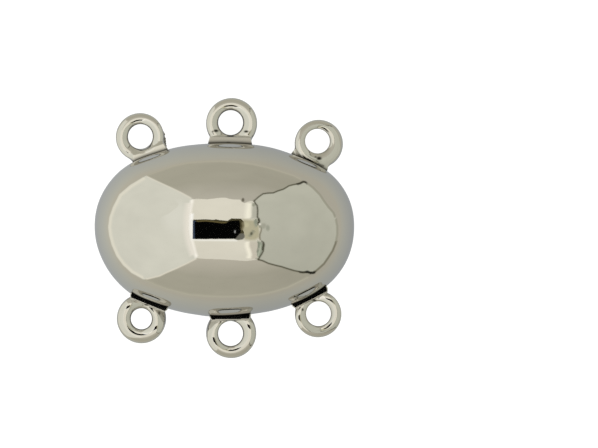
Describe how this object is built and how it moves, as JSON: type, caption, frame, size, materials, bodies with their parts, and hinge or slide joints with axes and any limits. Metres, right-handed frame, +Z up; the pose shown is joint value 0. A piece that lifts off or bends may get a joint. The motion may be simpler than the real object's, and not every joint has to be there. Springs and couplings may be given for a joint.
{
  "type": "magnetic clasp",
  "caption": "Oval domed magnetic clasp for a bracelet or necklace of several strands: two hollow halves that part face to face, each with a row of soldered loops.",
  "frame": {"origin": "centre of the flat base, under the middle of the oval", "axes": "+Z up out of the dome, +X along the oval, +Y across it towards the back half's loops"},
  "size_m": [0.0178, 0.0179, 0.0077],
  "materials": {
    "shell_plating": "mirror polish",
    "plate_metal": "satin",
    "magnet_nickel": "bright nickel"
  },
  "bodies": {
    "back_half": {"back_shell": "shell_plating", "back_plate": "plate_metal", "back_magnet": "magnet_nickel"},
    "front_half": {"front_shell": "shell_plating", "front_plate": "plate_metal", "front_magnet": "magnet_nickel"}
  },
  "joints": [
    {"name": "pull_apart", "type": "slide", "parent": "back_half", "child": "front_half", "axis": [0, 0, 1], "range_m": [0, 0.012]}
  ]
}
